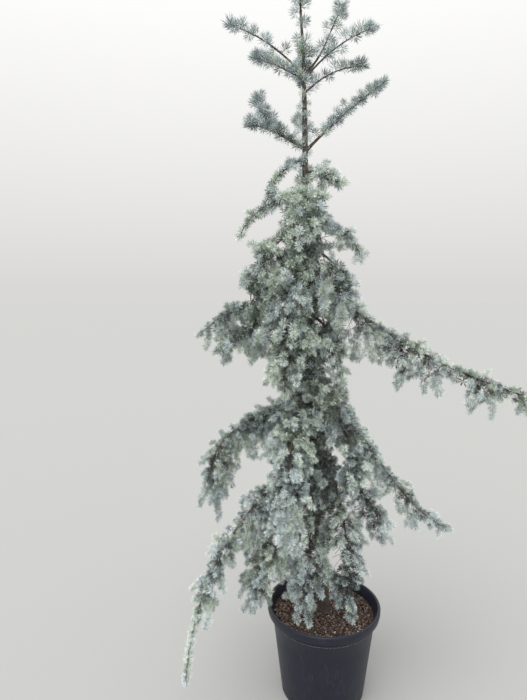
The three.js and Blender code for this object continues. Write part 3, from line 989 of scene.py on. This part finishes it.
def makeFoliage():
    for seed, mass in enumerate(masses):
        growMass(mass, seed)
    rnd = random.Random(fingerHabit["seed"])
    for row in curtains:
        growCurtain(rnd, *row)
    growStemShoots()
    print("growth:", len(tufts), "tufts,", len(twigPaths), "twigs")
    templates = {kind: [makeTemplate(kind, rnd) for _ in range(templatesPerKind)] for kind in tuftKinds}
    hues = (("blue", blueTints), ("green", greenTints))
    tints = [(f"waxyNeedle_{hue}_{i}", tint) for hue, row in hues for i, tint in enumerate(row)]
    materials = [newMaterial(name, tint, 0.6)[0] for name, tint in tints]
    for number, tier in enumerate(groupMasses(templates), 1):
        chosen = [tuft for tuft in tufts if tuft[0] in tier]
        piece = makeNeedles(f"needles_tier_{number}", chosen, templates, materials, number)
        attach(piece, ["foliage_" + mass for mass in tier])
    chosen = [tuft for tuft in tufts if tuft[0] == "trunk"]
    piece = makeNeedles("needles_on_trunk", chosen, templates, materials, stemShoots["needleSeed"])
    attach(piece)
    attach(makeTwigs())


# Pot: injection-moulded polypropylene, black with a satin skin, greyed by dust and upright scuffs, with a
# painted highlight on the ridge

pot = {
    "height": 360, "footRadius": 163, "shoulderRadius": 203, "rimRadius": 223, "rimDepth": 32,
    "ridgeDepth": 52, "ridgeProud": 3, "ridgeSlope": 8, "lipWidth": 12,
    "edge": 4, "bead": 1.9, "bandRound": 3.2, "rimRound": 5, "lipRound": 4,  # radii of its round stretches
    "hollow": 2, "standRing": (0.72, 0.74),  # it stands on a ring, from these shares of its foot
    "wall": 4, "floor": 6, "steps": 144,
    "holes": 12, "holeLow": 7, "holeHigh": 24, "holeDepth": 3,
    "holeShares": (0.32, 0.68), "holeEdge": 1.2,
}


def potRadius(height):
    share = height / (pot["height"] - pot["rimDepth"])
    return pot["footRadius"] + (pot["shoulderRadius"] - pot["footRadius"]) * share


# A closed shell from a profile of radius and height in millimetres, turned round the Z axis
def spinProfile(bm, profile, steps):
    corners = [bm.verts.new((r * mm, 0, z * mm)) for r, z in profile]
    edges = [bm.edges.new(pair) for pair in zip(corners, corners[1:])]
    bmesh.ops.spin(bm, geom=corners + edges, axis=up, cent=(0, 0, 0), angle=fullTurn, steps=steps,
                   use_merge=True)
    bmesh.ops.remove_doubles(bm, verts=bm.verts, dist=0.01 * mm)
    bmesh.ops.dissolve_degenerate(bm, edges=bm.edges, dist=0.001 * mm)


def potMaterial():
    material, shader = newMaterial("blackPolypropylene", "#15181F", 0.46, 1.45)
    add = partial(addNode, material)
    place = add("TexCoord").outputs["Object"]
    # Scuffs about 2 mm wide and a hand long, drawn upright as pots slide in and out of their stacks
    tall = add("Mapping", Vector=place, Scale=(1, 1, 0.035))
    scuffs = add("TexNoise", Vector=tall, Scale=scaleFor(4.76), Detail=4.0, Roughness=0.65)
    cloud = add("TexNoise", Vector=place, Scale=scaleFor(111), Detail=4.0, Roughness=0.6)
    marks = add("ValToRGB", _0=scuffs, stops=[(0.5, 0.0), (0.75, 1.0)])
    where = add("ValToRGB", _0=cloud, stops=[(0.45, 0.04), (0.66, 0.25)])
    streak = add("Math", {"operation": "MULTIPLY"}, _0=marks, _1=where)
    # A painted highlight lies along the edge of the ridge under the rim, broken here and there
    height = add("SeparateXYZ", Vector=place).outputs["Z"]
    ridge = (pot["height"] - pot["ridgeDepth"]) * mm
    away = add("Math", {"operation": "SUBTRACT"}, _0=height, _1=ridge)
    near = add("Math", {"operation": "ABSOLUTE"}, _0=away)
    ridgeHighlight = add("MapRange", Value=near, From_Min=2.2 * mm, From_Max=0.8 * mm)
    breaks = add("ValToRGB", _0=scuffs, stops=[(0.42, 0.1), (0.6, 0.85)])
    edge = add("Math", {"operation": "MULTIPLY"}, _0=ridgeHighlight, _1=breaks)
    # the scuffs' dust and the painted highlight on the ridge, in one mask
    dustAndHighlight = add("Math", {"operation": "MAXIMUM"}, _0=edge, _1=streak)
    tints = {"_6": linear("#131727"), "_7": linear("#76777D")}
    colour = add("Mix", {"data_type": "RGBA"}, Factor=dustAndHighlight, **tints).outputs[2]
    rough = add("MapRange", Value=dustAndHighlight, To_Min=0.44, To_Max=0.75)
    # The skin's grain, about 1 mm wide: coarser than life, so that it shows
    grain = add("TexNoise", Vector=place, Scale=scaleFor(1.11), Detail=2.0)
    bump = add("Bump", Strength=0.25, Distance=0.15 * mm, Height=grain)
    setInputs(material, shader, Base_Color=colour, Roughness=rough, Normal=bump)
    return material


# Points of radius and height on an arc, angles in degrees
def arc(centre, radius, start, end, count):
    angles = [math.radians(start + (end - start) * i / count) for i in range(count + 1)]
    return [(centre[0] + radius * math.cos(a), centre[1] + radius * math.sin(a)) for a in angles]


def potProfile():
    height, rimFoot, ridge = pot["height"], pot["height"] - pot["rimDepth"], pot["height"] - pot["ridgeDepth"]
    ridgeRadius, band = (potRadius(z) + pot["ridgeProud"] for z in (ridge, rimFoot))
    foot, edge, rim, floor = (pot[key] for key in ("footRadius", "edge", "rimRadius", "floor"))
    upWall = [pot["holeLow"], pot["holeHigh"], *range(60, 241, 60), ridge - pot["ridgeSlope"]]
    downWall = [rimFoot, 300, 200, 100, floor + 6]
    ringInner, ringOuter = (foot * share for share in pot["standRing"])
    profile = [(0, pot["hollow"]), (ringInner, pot["hollow"]), (ringOuter, 0), (foot - edge, 0)]
    profile += arc((foot - edge, edge), edge, -75, 0, 4)
    profile += [(potRadius(z), z) for z in upWall]
    profile += [(ridgeRadius - 0.6, ridge - 2.6)]
    profile += arc((ridgeRadius - 1.6, ridge - 0.6), pot["bead"], -60, 70, 4)
    profile += [(band - 1.2, ridge + 2.6), (band - 0.6, rimFoot - 7)]
    profile += arc((rim - 6.5, rimFoot + 2.5), pot["bandRound"], -115, 0, 5)
    profile += [(rim - 0.8, rimFoot + 14)]
    profile += arc((rim - pot["rimRound"], height - pot["rimRound"]), pot["rimRound"], 5, 90, 6)
    lip = (rim - pot["lipWidth"] + pot["lipRound"], height - pot["lipRound"])
    profile += arc(lip, pot["lipRound"], 90, 170, 5)
    profile += [(potRadius(z) - pot["wall"], z) for z in downWall]
    return profile + [(potRadius(floor) - pot["wall"] - 5, floor), (0, floor)]


# Drainage slots round the foot: patches of the wall, inset and pushed in
def sinkHoles(bm):
    low, high, turn = pot["holeLow"] * mm, pot["holeHigh"] * mm, 360 / pot["holes"]
    first, last = pot["holeShares"]
    holes = []
    for face in bm.faces:
        centre = face.calc_center_median()
        isOuter = math.hypot(centre.x, centre.y) > (potRadius(0) - 1) * mm
        share = math.degrees(math.atan2(centre.y, centre.x)) % turn / turn
        if isOuter and low < centre.z < high and first < share < last:
            holes.append(face)
    bmesh.ops.inset_region(bm, faces=holes, thickness=pot["holeEdge"] * mm, depth=0, use_even_offset=True)
    for vertex in {v for face in holes for v in face.verts}:
        vertex.co -= Vector((vertex.co.x, vertex.co.y, 0)).normalized() * pot["holeDepth"] * mm


def makePot():
    bm = bmesh.new()
    spinProfile(bm, potProfile(), pot["steps"])
    sinkHoles(bm)
    attach(finishMesh(bm, "pot_shell", [potMaterial()]), ["pot"])


# Compost: shredded bark, damp and dark, with chips lying loose on it and white grains of perlite

compost = {
    "top": 325, "gap": 0.45, "rings": 56, "steps": 150,
    "footRound": 6, "shoulder": 8,
    "lumps": 34, "relief": 2.8, "fineLumps": 150, "fineRelief": 1.4,  # lumps per metre, and their height
    "mound": 3, "moundRadius": 55, "dip": 2.5, "reach": 198,
    "stemRoom": 30, "wallRoom": 9,  # kept free of loose bits
    "uneven": (0.4, 1.15), "smaller": (0.3, 1), "tilt": 0.4,
    "chips": 3400,
    "chipTints": ["#38291F", "#4D3A30", "#654F42", "#7B6558", "#29201C", "#8F7F73"],
    "chipSizes": ((6, 30), (3, 10), (1, 4)),
    "grains": 170,
    "grainTints": ["#E4E0D8", "#CDC7BD"],
    "grainSizes": ((3, 8), (3, 7), (2, 5)),
}


# The surface: a low mound to the stem, lumps, and a slight dip in the last tenth, at the wall
def compostHeight(x, y):
    radius = math.hypot(x, y)
    lumps = noise.fractal(Vector((x, y, 0.3)) * compost["lumps"], 0.7, 2.2, 4)
    fine = noise.noise(Vector((x, y, 1.7)) * compost["fineLumps"])
    rise = compost["mound"] * math.exp(-(radius / (compost["moundRadius"] * mm)) ** 2)
    rim = -compost["dip"] * max(0, radius / (compost["reach"] * mm) - 0.9) / 0.1
    return (compost["top"] + rise + rim + compost["relief"] * lumps + compost["fineRelief"] * fine) * mm


def compostMaterial():
    material, shader = newMaterial("dampBarkCompost", "#33271F", 0.95)
    add = partial(addNode, material)
    place = add("TexCoord").outputs["Object"]
    # Shreds of 3 to 8 mm, from nearly black to red-brown
    shreds = add("TexVoronoi", Vector=place, Scale=scaleFor(4.76), Randomness=1.0)
    fibres = add("TexNoise", Vector=place, Scale=scaleFor(3.125), Detail=4.0, Roughness=0.7)
    pick = add("SeparateColor", Color=shreds.outputs["Color"])
    browns = [(0.0, "#1B1613"), (0.45, "#332822"), (0.8, "#54443A"), (1.0, "#756355")]
    brown = add("ValToRGB", _0=pick, stops=browns)
    dark = add("ValToRGB", _0=fibres, stops=[(0.3, 0.4), (0.6, 1.0)])
    colour = add("Mix", multiply, Factor=0.8, _6=brown, _7=dark).outputs[2]
    bump = add("Bump", Strength=0.8, Distance=2 * mm, Height=fibres)
    setInputs(material, shader, Base_Color=colour, Normal=bump)
    return material


def makeCompost():
    top, rings = compost["top"], compost["rings"]
    floor, shoulder = pot["floor"] + compost["gap"], top - compost["shoulder"]
    bottom, side, inside = (potRadius(z) - pot["wall"] - compost["gap"] for z in (floor, shoulder, top))
    profile = [(0, floor), (bottom - compost["footRound"], floor), (side, shoulder)]
    profile += [(inside * i / rings, top) for i in range(rings, -1, -1)]
    bm = bmesh.new()
    spinProfile(bm, profile, compost["steps"])
    for vertex in bm.verts:
        if vertex.co.z > (top - 1) * mm:
            vertex.co.z = compostHeight(vertex.co.x, vertex.co.y)
    attach(finishMesh(bm, "compost_bed", [compostMaterial()]), ["compost"])


# Loose bits on the compost: boxes with uneven corners, flat for chips and round for grains
def scatter(name, kind, roughness, seed):
    rnd = random.Random(seed)
    tints, sizes = compost[kind + "Tints"], compost[kind + "Sizes"]
    materials = [newMaterial(f"{name}_{i}", c, roughness)[0] for i, c in enumerate(tints)]
    corners = np.array([(x, y, z) for x in (-1, 1) for y in (-1, 1) for z in (-1, 1)], float)
    sides = [(0, 1, 3, 2), (4, 6, 7, 5), (0, 4, 5, 1), (2, 3, 7, 6), (0, 2, 6, 4), (1, 5, 7, 3)]
    triangles = np.array([t for a, b, c, d in sides for t in ((a, b, c), (a, c, d))])
    limit = (potRadius(compost["top"]) - pot["wall"] - compost["wallRoom"]) * mm
    points, faces, colours = [], [], []
    for _ in range(compost[kind + "s"]):
        radius = limit * math.sqrt(rnd.random())
        angle = rnd.uniform(0, fullTurn)
        if radius < compost["stemRoom"] * mm:
            continue
        x, y = radius * math.cos(angle), radius * math.sin(angle)
        half = np.array([rnd.uniform(*size) / 2 * mm for size in sizes]) * rnd.uniform(*compost["smaller"])
        uneven = np.array([[rnd.uniform(*compost["uneven"]) for _ in range(3)] for _ in range(8)])
        tilts = [Matrix.Rotation(rnd.gauss(0, compost["tilt"]), 3, axis) for axis in "XY"]
        turn = np.array(Matrix.Rotation(rnd.uniform(0, fullTurn), 3, "Z") @ (tilts[0] @ tilts[1]))
        at = np.array([x, y, compostHeight(x, y) + 0.4 * half[2]])  # a little sunk in
        points.append(corners * half * uneven @ turn.T + at)
        faces.append(triangles + 8 * len(faces))
        colours.append(np.full(12, rnd.randrange(len(tints))))
    points, faces, colours = np.concatenate(points), np.concatenate(faces), np.concatenate(colours)
    attach(meshFromArrays(name, points, faces, colours, materials))


makeStudio()
makeTrunk()
makeLimbs()
makeFoliage()
makePot()
makeCompost()
scatter("bark_chips", "chip", 0.9, 3)
scatter("perlite_grains", "grain", 0.85, 4)
